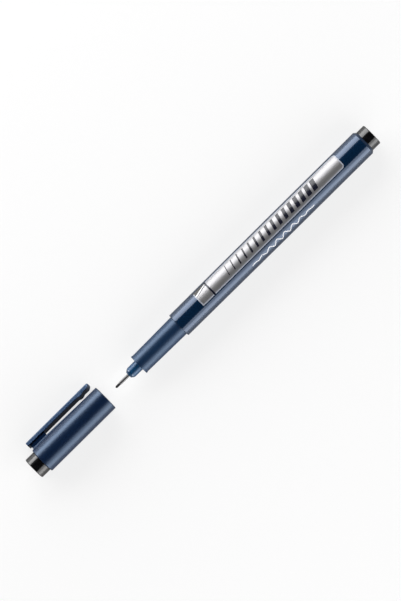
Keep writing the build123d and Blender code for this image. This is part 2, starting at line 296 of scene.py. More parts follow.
BARREL_SHEEN = (0.42, 0.62, 1.0, 1.0)
SATIN_SHEEN = (0.55, 0.73, 1.0, 1.0)
NOSE_SHEEN = (0.6, 0.76, 1.0, 1.0)
SECTION_ROUGHNESS = 0.33
CAP_ROUGHNESS = 0.27
CLIP_ROUGHNESS = 0.13

# Stage: the table, softboxes upright on both sides of the pen, and the sky over them
FLOOR_HALF = 3000.0
FLOOR_WHITE = 0.76
FLOOR_WHITE_IN_GLOSS = 0.1
SOFTBOX_DISTANCE = 500.0
SOFTBOX_HALF = 600.0
CAP_SIDE_END = -45.0
CLIP_SIDE, FAR_SIDE = 1, -1
WHOLE_PEN = (-SOFTBOX_HALF, SOFTBOX_HALF)
BESIDE_PEN = (CAP_SIDE_END, SOFTBOX_HALF)
BESIDE_CAP = (-SOFTBOX_HALF, CAP_SIDE_END)
SKY_LOW = (0.3, 0.3, 0.3)
SKY_HIGH = (0.012, 0.012, 0.012)
SKY_DARK_HEIGHT = 0.8

# Name, side of the pen, stations along it, heights over the table and brightness of each softbox
SOFTBOXES = (
    ("softbox_clip_low", CLIP_SIDE, BESIDE_PEN, (0.0, 300.0), 5.1),
    ("softbox_clip_high", CLIP_SIDE, BESIDE_PEN, (300.0, 525.0), 4.2),
    ("softbox_cap_low", CLIP_SIDE, BESIDE_CAP, (40.0, 300.0), 5.8),
    ("softbox_cap_high", CLIP_SIDE, BESIDE_CAP, (300.0, 400.0), 3.6),
    ("softbox_far_low", FAR_SIDE, WHOLE_PEN, (0.0, 280.0), 3.9),
    ("softbox_far_high", FAR_SIDE, WHOLE_PEN, (280.0, 580.0), 2.1),
)

# Camera: straight above, at the photograph's scale and turn
IMAGE_SIZE = (401, 601)
PIXEL = 0.37
PEN_TURN = radians(44.7)
MIDDLE_PIXEL = (202.95, 301.5)
CAMERA_HEIGHT = 2000.0
CAMERA_REACH = 10000.0
SENSOR = 36.0


def straight_run(start, end):
    """Points strictly between two outline points: one close to each end and one every RING_STEP between."""
    length = np.linalg.norm(end - start)
    if length < 3 * RING_SUPPORT:
        return np.empty((0, 2))
    inner = np.linspace(RING_SUPPORT, length - RING_SUPPORT, 2 + int(length / RING_STEP))
    return start + (end - start) * (inner / length)[:, None]


def corner_arc(before, corner, after, size):
    """Arc of a given radius, tangent to both sides of a corner: the centre plus a vector that turns evenly
    from one tangent point to the other."""
    back = (before - corner) / np.linalg.norm(before - corner)
    ahead = (after - corner) / np.linalg.norm(after - corner)
    turn = pi - np.arccos(np.clip(back @ ahead, -1, 1))
    if size == 0 or turn < SMALLEST_TURN:
        return corner[None]
    middle = (back + ahead) / np.linalg.norm(back + ahead)
    centre = corner + middle * size / cos(turn / 2)
    first = corner + back * size * tan(turn / 2) - centre
    last = corner + ahead * size * tan(turn / 2) - centre
    t = np.linspace(0, 1, 2 + ceil(turn / ARC_STEP))[:, None]
    return centre + (np.sin((1 - t) * turn) * first + np.sin(t * turn) * last) / sin(turn)


def rounded_outline(corners, closed=True):
    """Outline through (station, radius, round) corners: an arc at each corner and rings along each side."""
    corners = np.array(corners, float)
    points, rounds = corners[:, :2], corners[:, 2]
    arcs = [
        corner_arc(points[i - 1], points[i], points[(i + 1) % len(points)], rounds[i])
        for i in range(len(points))
    ]
    runs = [straight_run(arcs[i][-1], arcs[(i + 1) % len(arcs)][0]) for i in range(len(arcs))]
    if not closed:
        arcs[0], arcs[-1], runs[-1] = points[:1], points[-1:], runs[-1][:0]
    return np.concatenate([part for pair in zip(arcs, runs) for part in pair])


def from_mouth(corners, closed=True):
    """Outline whose stations are counted from the cap's mouth towards its closed end."""
    turned_round = [(CAP_MOUTH - station, radius, size) for station, radius, size in corners]
    return rounded_outline(turned_round, closed)


def wrapped(station, radius, angle):
    """Points at a station, a radius from the pen's axis and an angle from its top to the clip's side."""
    y = AXIS_Y + radius * np.sin(angle)
    z = AXIS_Z + radius * np.cos(angle)
    return np.stack([station, y, z], axis=-1)


def turned(outline):
    """Outline turned about the pen's axis: ring i, spoke j is at x_i and r_i from the axis, at angle j."""
    station, radius = outline[:, 0, None], outline[:, 1, None]
    angle = np.linspace(0, 2 * pi, SPOKES, endpoint=False)[None]
    return wrapped(station + 0 * angle, radius + 0 * angle, angle + 0 * station)


def on_clip(station, reach, side):
    """Points at a station from the cap's mouth, a reach along the clip's plane and a step to its side."""
    y = AXIS_Y + reach * cos(CLIP_DIP) + side * sin(CLIP_DIP)
    z = AXIS_Z - reach * sin(CLIP_DIP) + side * cos(CLIP_DIP)
    return np.stack([CAP_MOUTH - station + 0 * y, y, z], axis=-1)


def quarter_drop(distance, size):
    """How far a quarter round of a size lies below its face, at a distance from the edge it ends on."""
    return size - np.sqrt(size**2 - np.clip(size - distance, 0, size) ** 2)


def rounded_box(low_a, high_a, low_b, high_b, low_round, high_round):
    """Loops of a box, one for each entry of the arrays, with elliptic corners: centre + (a cos, b sin). The
    half axes are given for the low and the high side of a. One more point beside each arc lets the flats
    shade flat."""
    steps = np.linspace(0, pi / 2, BOX_CORNER_POINTS)
    quarter = np.concatenate([steps[:1], steps, steps[-1:]])
    slide = np.tile(np.concatenate([[-RING_SUPPORT], 0 * steps, [RING_SUPPORT]]), 4)[None]
    turn = np.concatenate([quarter + k * pi / 2 for k in range(4)])[None]
    sign_a = np.repeat([1, -1, -1, 1], len(quarter))[None]
    sign_b = np.repeat([1, 1, -1, -1], len(quarter))[None]
    low_a, high_a, low_b, high_b = (np.atleast_1d(v)[:, None] for v in (low_a, high_a, low_b, high_b))
    size_a, size_b = (np.where(sign_a > 0, high, low) for low, high in zip(low_round, high_round))
    size_a = np.minimum(size_a, BOX_ROUND_SHARE * (high_a - low_a))
    size_b = np.minimum(size_b, BOX_ROUND_SHARE * (high_b - low_b))
    centre_a = np.where(sign_a > 0, high_a - size_a, low_a + size_a)
    centre_b = np.where(sign_b > 0, high_b - size_b, low_b + size_b)
    a = centre_a + size_a * np.cos(turn) - slide * np.sin(turn)
    b = centre_b + size_b * np.sin(turn) + slide * np.cos(turn)
    return a, b


def closed_faces(rows, columns, rows_close):
    """Quads of a grid whose columns close. Open rows get a ladder of quads over the first and last loop."""
    index = np.arange(rows * columns).reshape(rows, columns)
    here = index if rows_close else index[:-1]
    ahead = np.roll(index, -1, axis=0) if rows_close else index[1:]
    quads = [np.stack([here, ahead, np.roll(ahead, -1, 1), np.roll(here, -1, 1)], -1).reshape(-1, 4)]
    if not rows_close:
        half = columns // 2
        for loop, order in ((index[0], 1), (index[-1], -1)):
            near, far = loop[:half], loop[::-1][:half]
            ladder = np.stack([near[:-1], near[1:], far[1:], far[:-1]], -1)
            quads.append(ladder[:, ::order])
    return np.concatenate(quads)


def weld(mesh):
    """Merges the points of a ring that has shrunk onto the axis, which closes the pole."""
    work = bmesh.new()
    work.from_mesh(mesh)
    bmesh.ops.remove_doubles(work, verts=work.verts, dist=WELD_DISTANCE * MM)
    work.to_mesh(mesh)
    work.free()


def solid_mesh(name, grids, rows_close):
    """Mesh of one or more closed grids, with the faces turned outwards by the sign of each grid's volume."""
    points, faces, count = [], [], 0
    for grid in grids:
        flat = grid.reshape(-1, 3)
        quads = closed_faces(*grid.shape[:2], rows_close)
        a, b, c, d = (flat[quads[:, k]] - flat.mean(0) for k in range(4))
        volume = np.einsum("ij,ij->", a, np.cross(b, c) + np.cross(c, d))
        faces.append((quads if volume > 0 else quads[:, ::-1]) + count)
        points.append(flat)
        count += len(flat)
    points, faces = np.concatenate(points) * MM, np.concatenate(faces)
    mesh = bpy.data.meshes.new(name)
    mesh.vertices.add(len(points))
    mesh.vertices.foreach_set("co", points.astype(np.float32).ravel())
    mesh.loops.add(faces.size)
    mesh.loops.foreach_set("vertex_index", faces.astype(np.int32).ravel())
    mesh.polygons.add(len(faces))
    mesh.polygons.foreach_set("loop_start", np.arange(0, faces.size, 4, dtype=np.int32))
    mesh.update(calc_edges=True)
    weld(mesh)
    mesh.polygons.foreach_set("use_smooth", np.ones(len(mesh.polygons), bool))
    mesh.set_sharp_from_angle(angle=SHARP_ANGLE)
    return mesh


def add_piece(name, grids, finish, body, nodes=(), rows_close=False):
    """Puts a piece into the scene, on its CAD body and in place of the CAD nodes that it stands for."""
    piece = bpy.data.objects.new(name, solid_mesh(name, grids, rows_close))
    bpy.context.scene.collection.objects.link(piece)
    piece.data.materials.append(finish)
    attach(piece, body)
    if nodes:
        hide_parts(*nodes)


class Wire:
    """A shader socket that takes part in Python arithmetic: each operator adds one Math node."""

    def __init__(self, nodes, socket):
        self.nodes = nodes
        self.socket = socket

    def math(self, operation, first, second):
        return self.nodes.add("ShaderNodeMath", {"operation": operation}, {0: first, 1: second})

    def __add__(self, other):
        return self.math("ADD", self, other)

    def __sub__(self, other):
        return self.math("SUBTRACT", self, other)

    def __rsub__(self, other):
        return self.math("SUBTRACT", other, self)

    def __mul__(self, other):
        return self.math("MULTIPLY", self, other)

    __radd__ = __add__
    __rmul__ = __mul__


class Nodes:
    """A node tree, with one way to add a node to it."""

    def __init__(self, tree):
        self.tree = tree

    def add(self, kind, settings, sockets, output=0):
        """Adds a node of a kind: its settings first, then its sockets. Gives back one of its outputs."""
        node = self.tree.nodes.new(kind)
        for key, value in settings.items():
            setattr(node, key, value)
        for key, value in sockets.items():
            self.feed(node.inputs[key], value)
        return Wire(self, node.outputs[output])

    def feed(self, socket, value):
        """Links a wire to a socket, or sets the socket to a constant."""
        if isinstance(value, Wire):
            self.tree.links.new(value.socket, socket)
        else:
            socket.default_value = value

    def mix(self, first, second, share):
        """Colour between two colours."""
        sockets = {"Factor": share, 6: colour(first), 7: colour(second)}
        return self.add("ShaderNodeMix", {"data_type": "RGBA"}, sockets, 2)

    def smooth(self, value, low, high):
        """0 below low, 1 above high, and a smooth step between."""
        sockets = {"Value": value, "From Min": low, "From Max": high}
        return self.add("ShaderNodeMapRange", {"interpolation_type": "SMOOTHSTEP"}, sockets)


def colour(value):
    """A colour as its socket takes it."""
    return value if isinstance(value, Wire) else (*value, 1.0)


class Finish(Nodes):
    """A procedural material on Object coordinates."""

    def __init__(self, name, **constants):
        self.material = bpy.data.materials.new(name)
        self.material.use_nodes = True
        super().__init__(self.material.node_tree)
        self.shader = self.tree.nodes["Principled BSDF"]
        self.place = self.add("ShaderNodeTexCoord", {}, {}, "Object")
        for key, value in constants.items():
            self.shade(key.replace("_", " "), value)

    def shade(self, key, value):
        """Sets or links one of the shader's own sockets."""
        self.feed(self.shader.inputs[key], value)

    def grain(self, along, across, detail=2.0):
        """Noise from 0 to 1 with marks of a given length along the pen and width across it."""
        stretch = (1 / (along * MM), 1 / (across * MM), 1 / (across * MM))
        place = self.add("ShaderNodeVectorMath", {"operation": "MULTIPLY"}, {0: self.place, 1: stretch})
        return self.add("ShaderNodeTexNoise", {}, {"Vector": place, "Scale": 1.0, "Detail": detail})

    def station(self):
        """Station along the pen, in millimetres."""
        return self.add("ShaderNodeSeparateXYZ", {}, {0: self.place}) * (1 / MM)

    def bump(self, height, depth):
        """Raises the surface by a height from 0 to 1, over a depth in millimetres."""
        sockets = {"Height": height, "Strength": 1.0, "Distance": depth * MM}
        self.shade("Normal", self.add("ShaderNodeBump", {}, sockets))


def gloss_navy():
    """Glossy navy moulding: slow colour clouds, fine flow lines along the barrel and faint smudges."""
    gloss = {"Coat_Weight": 0.7, "Coat_Roughness": 0.1, "Specular_IOR_Level": 0.65}
    finish = Finish("gloss_navy", Specular_Tint=BARREL_SHEEN, **gloss)
    cloud = finish.grain(along=25.0, across=6.0)
    flow = finish.grain(along=30.0, across=0.3, detail=3.0)
    smudge = finish.smooth(finish.grain(along=6.0, across=3.0, detail=4.0), low=0.52, high=0.75)
    clean, flow_haze, smudge_haze = 0.15, 0.05, 0.07
    finish.shade("Base Color", finish.mix(*BARREL_SHADES, cloud))
    finish.shade("Roughness", clean + flow * flow_haze + smudge * smudge_haze)
    finish.bump(flow, depth=0.002)
    return finish.material


def satin_navy(name, shades, roughness):
    """Satin navy moulding: a fine eroded grain in the surface and a sheen that is rubbed in places."""
    finish = Finish(name, Specular_IOR_Level=0.84, Specular_Tint=SATIN_SHEEN)
    cloud = finish.grain(along=12.0, across=5.0)
    grain = finish.grain(along=0.14, across=0.14, detail=1.0)
    rub = finish.smooth(finish.grain(along=5.0, across=2.0, detail=4.0), low=0.5, high=0.75)
    grain_haze, rub_gloss = 0.06, 0.05
    finish.shade("Base Color", finish.mix(*shades, cloud))
    finish.shade("Roughness", roughness + grain * grain_haze - rub * rub_gloss)
    finish.bump(grain, depth=0.004)
    return finish.material


def nose_navy():
    """Satin moulding of the nib holder, a little greener than the barrel, with its front bevel polished."""
    sheen = {"Coat_Roughness": 0.06, "Specular_IOR_Level": 0.85, "Specular_Tint": NOSE_SHEEN}
    finish = Finish("nose_moulding", **sheen)
    cloud = finish.grain(along=2.0, across=1.5)
    grain = finish.grain(along=0.1, across=0.1, detail=1.0)
    bevel_end = NOSE_FRONT + NOSE_BEVEL_LENGTH
    polish = 1 - finish.smooth(finish.station(), low=bevel_end, high=bevel_end + NOSE_POLISH_FADE)
    satin, grain_haze, polish_gloss = 0.27, 0.08, 0.17
    finish.shade("Base Color", finish.mix(*NOSE_SHADES, cloud))
    finish.shade("Roughness", satin + grain * grain_haze - polish * polish_gloss)
    finish.shade("Coat Weight", polish)
    finish.bump(grain, depth=0.002)
    return finish.material


def plug_black():
    """Glossy black moulding with faint flow rings and handling marks."""
    finish = Finish("gloss_black", Coat_Weight=0.5, Coat_Roughness=0.06)
    rings = finish.grain(along=0.25, across=30.0)
    smudge = finish.smooth(finish.grain(along=1.6, across=1.6, detail=4.0), low=0.5, high=0.75)
    clean, ring_haze, smudge_haze = 0.14, 0.05, 0.08
    finish.shade("Base Color", finish.mix(*PLUG_SHADES, smudge))
    finish.shade("Roughness", clean + rings * ring_haze + smudge * smudge_haze)
    finish.bump(rings, depth=0.002)
    return finish.material


def nib_steel():
    """Polished steel tube: fine drawn lines along it and slight turning rings."""
    finish = Finish("drawn_steel", Metallic=1.0)
    drawn = finish.grain(along=4.0, across=0.05)
    rings = finish.grain(along=0.06, across=20.0, detail=1.0)
    polish, drawn_haze, ring_haze = 0.08, 0.05, 0.03
    finish.shade("Base Color", finish.mix(*STEEL_SHADES, drawn))
    finish.shade("Roughness", polish + drawn * drawn_haze + rings * ring_haze)
    finish.bump(drawn, depth=0.0015)
    return finish.material


def nib_fibre():
    """Bonded fibre soaked with ink: strands along the nib, darkest between them."""
    finish = Finish("inked_fibre", Specular_IOR_Level=0.25)
    strand = finish.grain(along=3.0, across=0.06)
    wet, strand_haze = 0.55, 0.25
    finish.shade("Base Color", finish.mix(*NIB_SHADES, strand))
    finish.shade("Roughness", wet + strand * strand_haze)
    finish.bump(strand, depth=0.012)
    return finish.material


def reservoir_fibre():
    """Ink-soaked core of long soft strands."""
    finish = Finish("soaked_core")
    strand = finish.grain(along=20.0, across=0.15, detail=3.0)
    wet, strand_haze = 0.7, 0.25
    finish.shade("Base Color", finish.mix(*CORE_SHADES, strand))
    finish.shade("Roughness", wet + strand * strand_haze)
    finish.bump(strand, depth=0.05)
    return finish.material


def wrap_film():
    """Clear film over the core, with long shallow creases."""
    finish = Finish("clear_film")
    crease = finish.grain(along=9.0, across=0.6)
    smooth_film, crease_haze = 0.15, 0.2
    finish.shade("Base Color", finish.mix(*FILM_SHADES, crease))
    finish.shade("Roughness", smooth_film + crease * crease_haze)
    finish.bump(crease, depth=0.02)
    return finish.material


def liner_plastic():
    """Natural soft moulding with a waxy, uneven sheen."""
    finish = Finish("natural_plastic")
    cloud = finish.grain(along=3.0, across=2.0, detail=3.0)
    waxy, cloud_haze = 0.35, 0.2
    finish.shade("Base Color", finish.mix(*LINER_SHADES, cloud))
    finish.shade("Roughness", waxy + cloud * cloud_haze)
    finish.bump(cloud, depth=0.01)
    return finish.material


def silver_ink(name, shades):
    """Silver print: fine metal flakes and a faint brushed direction along the barrel."""
    finish = Finish(name, Metallic=0.85)
    flake = finish.grain(along=0.12, across=0.12, detail=1.0)
    brushed = finish.grain(along=8.0, across=0.15)
    satin, brushed_haze = 0.42, 0.08
    finish.shade("Base Color", finish.mix(*shades, flake))
    finish.shade("Roughness", satin + brushed * brushed_haze)
    finish.bump(flake, depth=0.002)
    return finish.material


def print_ink(name, shades):
    """Flat printing ink, with a slightly uneven film."""
    finish = Finish(name)
    film = finish.grain(along=0.8, across=0.4, detail=3.0)
    gloss, film_haze = 0.2, 0.12
    finish.shade("Base Color", finish.mix(*shades, film))
    finish.shade("Roughness", gloss + film * film_haze)
    finish.bump(film, depth=0.002)
    return finish.material


def floor_paper():
    """Smooth grey table with a very fine tooth, which the camera sees as white paper with a soft shadow."""
    finish = Finish("floor_paper", Roughness=0.25, Specular_IOR_Level=0.5)
    tooth = finish.grain(along=0.8, across=0.8)
    rays = ("Is Camera Ray", "Is Glossy Ray", "Is Transmission Ray")
    camera, glossy, through = (finish.add("ShaderNodeLightPath", {}, {}, ray) for ray in rays)
    table = finish.mix(*TABLE_SHADES, tooth)
    finish.shade("Base Color", finish.mix(table, TABLE_TO_CAMERA, camera))
    white = finish.add("ShaderNodeEmission", {}, {"Color": (1.0, 1.0, 1.0, 1.0), "Strength": 1.0})
    paper = Wire(finish, finish.shader.outputs[0])
    share = camera * FLOOR_WHITE + (glossy + through) * FLOOR_WHITE_IN_GLOSS
    seen = finish.add("ShaderNodeMixShader", {}, {0: share, 1: paper, 2: white})
    finish.feed(finish.tree.nodes["Material Output"].inputs["Surface"], seen)
    return finish.material


def barrel_outline():
    """Barrel tube: front face, drafted wall, straight wall, rear bevel, rear face and bore."""
    return rounded_outline(
        [
            (BARREL_FRONT, BARREL_BORE, 0),
            (BARREL_FRONT, BARREL_FRONT_RADIUS, BARREL_FRONT_ROUND),
            (BARREL_FRONT + BARREL_DRAFT_LENGTH, BARREL_RADIUS, 0),
            (BARREL_BACK - BARREL_BEVEL_LENGTH, BARREL_RADIUS, BARREL_BEVEL_ROUND),
            (BARREL_BACK, BARREL_RADIUS - BARREL_BEVEL_DEPTH, BARREL_END_ROUND),
            (BARREL_BACK, BARREL_BORE, 0),
        ]
    )


def section_outline():
    """Grip section: lip, tapered sleeve, shoulder, spigot, reservoir pocket and nib holder's socket."""
    lip_back = SECTION_FRONT + SECTION_LIP_LENGTH
    wall_back = SECTION_FRONT + SECTION_FRONT_WALL
    return rounded_outline(
        [
            (SECTION_FRONT, STEM_BORE, 0),
            (SECTION_FRONT, SECTION_LIP_RADIUS, SECTION_LIP_ROUND),
            (lip_back, SECTION_LIP_RADIUS, SECTION_LIP_BACK_ROUND),
            (lip_back, SECTION_FRONT_RADIUS, SECTION_LIP_ROOT_ROUND),
            (BARREL_FRONT, SECTION_REAR_RADIUS, 0),
            (BARREL_FRONT, SPIGOT_RADIUS, 0),
            (SPIGOT_BACK, SPIGOT_RADIUS, SPIGOT_ROUND),
            (SPIGOT_BACK, POCKET_RADIUS, 0),
            (wall_back, POCKET_RADIUS, 0),
            (wall_back, SOCKET_RADIUS, 0),
            (STEM_BACK, SOCKET_RADIUS, 0),
            (STEM_BACK, STEM_BORE, 0),
        ]
    )


def nose_outline():
    """Nib holder: bevelled nose, stem and a bore that the tube seats in."""
    bevel_radius = NOSE_RADIUS - NOSE_DROP
    return rounded_outline(
        [
            (NOSE_FRONT, TUBE_SEAT, NOSE_SEAT_ROUND),
            (NOSE_FRONT, bevel_radius - NOSE_BEVEL_DEPTH, NOSE_FRONT_ROUND),
            (NOSE_FRONT + NOSE_BEVEL_LENGTH, bevel_radius, NOSE_BEVEL_ROUND),
            (SECTION_FRONT, NOSE_RADIUS, 0),
            (SECTION_FRONT, STEM_RADIUS, 0),
            (STEM_BACK, STEM_RADIUS, 0),
            (STEM_BACK, NIB_SEAT, 0),
            (TUBE_BACK, NIB_SEAT, 0),
            (TUBE_BACK, TUBE_SEAT, 0),
        ]
    )


def tube_outline():
    """Steel tube, swaged in at its front end."""
    return rounded_outline(
        [
            (TUBE_FRONT, TUBE_BORE, 0),
            (TUBE_FRONT, TUBE_RADIUS - TUBE_SWAGE_DEPTH, TUBE_END_ROUND),
            (TUBE_FRONT + TUBE_SWAGE_LENGTH, TUBE_RADIUS, TUBE_SWAGE_ROUND),
            (TUBE_BACK, TUBE_RADIUS, 0),
            (TUBE_BACK, TUBE_BORE, 0),
        ]
    )


def nib_outline():
    """Fibre nib: a half-ellipse tip, a straight rod and a pointed tail, from pole to pole."""
    t = np.linspace(0, pi / 2, NIB_TIP_RINGS)[:-1]
    tip = np.stack([NIB_FRONT + NIB_ROUND_LENGTH * (1 - np.cos(t)), NIB_RADIUS * np.sin(t)], -1)
    rod = rounded_outline(
        [
            (NIB_FRONT + NIB_ROUND_LENGTH, NIB_RADIUS, 0),
            (NIB_BACK - NIB_POINT_LENGTH, NIB_RADIUS, 0),
            (NIB_BACK, NIB_RADIUS - NIB_POINT_DEPTH, 0),
            (NIB_BACK, 0, 0),
        ],
        closed=False,
    )
    return np.concatenate([tip, rod])


def rear_plug_outline():
    """Rear plug: flat end with a rounded rim, head and hollow spigot, from pole to pole."""
    floor = REAR_END - REAR_PLUG_FLOOR
    return rounded_outline(
        [
            (REAR_END, 0, 0),
            (REAR_END, PLUG_RADIUS, PLUG_ROUND),
            (BARREL_BACK, PLUG_RADIUS, PLUG_BASE_ROUND),
            (BARREL_BACK, REAR_SPIGOT_RADIUS, 0),
            (REAR_SPIGOT_FRONT, REAR_SPIGOT_RADIUS, 0),
            (REAR_SPIGOT_FRONT, REAR_PLUG_BORE, 0),
            (floor, REAR_PLUG_BORE, 0),
            (floor, 0, 0),
        ],
        closed=False,
    )


def cap_outline():
    """Cap tube: mouth, wall, rounded shoulder, end wall with the plug's hole, liner seat and bore."""
    end_inside = CAP_LENGTH - CAP_END_WALL
    return from_mouth(
        [
            (0, CAP_MOUTH_RADIUS, CAP_MOUTH_LEAD_ROUND),
            (0, CAP_RADIUS, CAP_MOUTH_ROUND),
            (CAP_LENGTH, CAP_RADIUS, CAP_SHOULDER_ROUND),
            (CAP_LENGTH, CAP_HOLE_RADIUS, 0),
            (end_inside, CAP_HOLE_RADIUS, 0),
            (end_inside, CAP_SEAL_RADIUS, 0),
            (LINER_MOUTH, CAP_SEAL_RADIUS, 0),
            (LINER_MOUTH, CAP_MOUTH_RADIUS, 0),
        ]
    )


def cap_plug_outline():
    """Cap plug: flat end with a rounded rim, head and hollow spigot, from pole to pole."""
    bore_end = LINER_BACK + PRESS_GAP
    return from_mouth(
        [
            (CAP_END, 0, 0),
            (CAP_END, PLUG_RADIUS, PLUG_ROUND),
            (CAP_LENGTH, PLUG_RADIUS, PLUG_BASE_ROUND),
            (CAP_LENGTH, CAP_PLUG_SPIGOT_RADIUS, 0),
            (CAP_PLUG_INSIDE, CAP_PLUG_SPIGOT_RADIUS, 0),
            (CAP_PLUG_INSIDE, CAP_PLUG_BORE, 0),
            (bore_end, CAP_PLUG_BORE, 0),
            (bore_end, 0, 0),
        ],
        closed=False,
    )


def liner_outline():
    """Cap liner: flanged sleeve that narrows round the nose and nib, with a closed tail, pole to pole."""
    nose_end = LINER_MOUTH + LINER_NOSE_DEPTH
    tail_inside = LINER_BACK - LINER_TAIL_WALL
    flange_back = LINER_MOUTH + LINER_FRONT_FLANGE
    flange_front = CAP_PLUG_INSIDE - LINER_REAR_FLANGE
    return from_mouth(
        [
            (LINER_BACK, 0, 0),
            (LINER_BACK, LINER_TAIL_RADIUS, LINER_TAIL_ROUND),
            (CAP_PLUG_INSIDE, LINER_TAIL_RADIUS, 0),
            (CAP_PLUG_INSIDE, LINER_RADIUS, 0),
            (flange_front, LINER_RADIUS, 0),
            (flange_front, LINER_SLEEVE_RADIUS, 0),
            (flange_back, LINER_SLEEVE_RADIUS, 0),
            (flange_back, LINER_RADIUS, 0),
            (LINER_MOUTH, LINER_RADIUS, LINER_RIM_ROUND),
            (LINER_MOUTH, LINER_NOSE_RADIUS + LINER_LEAD_DEPTH, LINER_LEAD_ROUND),
            (LINER_MOUTH + LINER_LEAD_LENGTH, LINER_NOSE_RADIUS, LINER_LEAD_END_ROUND),
            (nose_end, LINER_NOSE_RADIUS, 0),
            (nose_end, LINER_BORE, 0),
            (tail_inside, LINER_BORE, 0),
            (tail_inside, 0, 0),
        ],
        closed=False,
    )


def clip_arm_stations():
    """Stations of the clip's arm: close together round its tip, over its grip bump and round its tail."""
    tip_turn = CLIP_TIP + CLIP_TIP_ROUND * (1 - np.cos(np.linspace(0, pi / 2, CLIP_TIP_RINGS)))
    tail_turn = CAP_LENGTH - CLIP_EDGE_ROUND * (1 - np.cos(np.linspace(pi / 2, 0, CLIP_TAIL_RINGS)))
    lead_end = CLIP_TIP + CLIP_LEAD_LENGTH
    bump = CLIP_BUMP + CLIP_BUMP_HALF * np.linspace(-1, 1, CLIP_BUMP_RINGS)
    middle = np.linspace(bump[-1] + RING_STEP, tail_turn[0] - RING_SUPPORT, CLIP_ARM_RINGS)
    lead = [lead_end, lead_end + CLIP_LEAD_RING]
    return np.unique(np.concatenate([tip_turn, lead, bump, middle, tail_turn]))


def clip_arm():
    """Clip arm: a rounded box section carried along the cap. Its inner side is cut back by a straight
    lead-in at the tip and stands out by a circular arc at the grip bump."""
    station = clip_arm_stations()
    to_tip, to_tail = station - CLIP_TIP, CAP_LENGTH - station
    ends = quarter_drop(to_tip, CLIP_EDGE_ROUND) + quarter_drop(to_tail, CLIP_EDGE_ROUND)
    half_width = CLIP_WIDTH / 2 - quarter_drop(to_tip, CLIP_TIP_ROUND)
    bump_radius = (CLIP_BUMP_HALF**2 + CLIP_BUMP_DEPTH**2) / (2 * CLIP_BUMP_DEPTH)
    from_bump = np.clip(np.abs(station - CLIP_BUMP), 0, CLIP_BUMP_HALF)
    bump_rise = np.sqrt(bump_radius**2 - from_bump**2) - bump_radius + CLIP_BUMP_DEPTH
    lead = CLIP_LEAD_DEPTH * np.clip(1 - to_tip / CLIP_LEAD_LENGTH, 0, 1)
    inner, outer = CLIP_INNER + lead - bump_rise, CLIP_OUTER - ends
    reach, side = rounded_box(inner, outer, -half_width, half_width, CLIP_INNER_ROUND, CLIP_CROWN)
    return on_clip(station[:, None], reach, side)


def clip_foot():
    """Clip foot: a rounded box in plan carried from the cap's wall into the arm. It widens evenly towards
    the arm and is flared forwards under it by a quarter round."""
    wall = np.linspace(CAP_WALL_MIDDLE, CAP_RADIUS + RIB_HEIGHT, FOOT_WALL_RINGS)
    flare = CLIP_INNER - FOOT_FLARE * (1 - np.sin(np.linspace(0, pi / 2, FOOT_FLARE_RINGS)))
    reach = np.concatenate([wall, flare, [CLIP_INNER + CLIP_THICKNESS / 2]])
    rise = np.clip((reach - CAP_RADIUS) / (CLIP_INNER - CAP_RADIUS), 0, 1)
    half_width = FOOT_WALL_HALF_WIDTH + (FOOT_HALF_WIDTH - FOOT_WALL_HALF_WIDTH) * rise
    front = FOOT_FRONT - quarter_drop(np.clip(CLIP_INNER - reach, 0, None), FOOT_FLARE)
    back = FOOT_BACK + 0 * reach
    station, side = rounded_box(front, back, -half_width, half_width, FOOT_ROUND, FOOT_ROUND)
    return on_clip(station, reach[:, None], side)


def clip_rib():
    """Low rib on the cap under the clip: a rounded box section that rises evenly from wall to foot."""
    station = np.linspace(RIB_START, FOOT_BACK, RIB_RINGS)
    rise = RIB_HEIGHT * np.clip((station - RIB_START) / (FOOT_FRONT - RIB_START), 0, 1)
    root = CAP_WALL_MIDDLE + 0 * station
    half = FOOT_HALF_WIDTH + 0 * station
    reach, side = rounded_box(root, CAP_RADIUS + rise, -half, half, RIB_ROOT_ROUND, RIB_ROUND)
    return on_clip(station[:, None], reach, side)


def printed(station, angle, lift):
    """Thin film on the barrel: rows of (station, angle) just above its wall, and the same rows below it."""
    drafted = np.clip(station / BARREL_DRAFT_LENGTH, 0, 1)
    wall = BARREL_FRONT_RADIUS + BARREL_DRAFT_DEPTH * drafted
    top = wrapped(BARREL_FRONT + station, wall + lift, np.radians(angle))
    under = wrapped(BARREL_FRONT + station, wall - PRINT_SINK, np.radians(angle))
    return np.concatenate([top, under[:, ::-1]], axis=1)


def printed_band(station, low, high, lift):
    """Film between a low and a high angle that may change with the station."""
    share = np.linspace(0, 1, BAND_POINTS)[None]
    low, high = (np.broadcast_to(v, station.shape)[:, None] for v in (low, high))
    return printed(station[:, None] + 0 * share, low + (high - low) * share, lift)


def even_path(path):
    """Points every LINE_STEP or so along a path, found by its running length."""
    run = np.append(0, np.cumsum(np.linalg.norm(np.diff(path, axis=0), axis=1)))
    places = np.linspace(0, run[-1], 2 + int(run[-1] / LINE_STEP))
    return np.stack([np.interp(places, run, axis) for axis in path.T], -1)


def printed_line(path, width, lift):
    """Film of even width along a path of (station, distance round the barrel), on the path's left side."""
    path = even_path(path)
    step = np.gradient(path, axis=0)
    step /= np.linalg.norm(step, axis=1)[:, None]
    left = np.stack([-step[:, 1], step[:, 0]], -1)
    grid = path[:, None] + left[:, None] * np.linspace(0, width, LINE_POINTS)[None, :, None]
    return printed(grid[..., 0], np.degrees(grid[..., 1] / BARREL_RADIUS), lift)


def around(angle):
    """Distance round the barrel from its top line to an angle in degrees."""
    return np.radians(angle) * BARREL_RADIUS


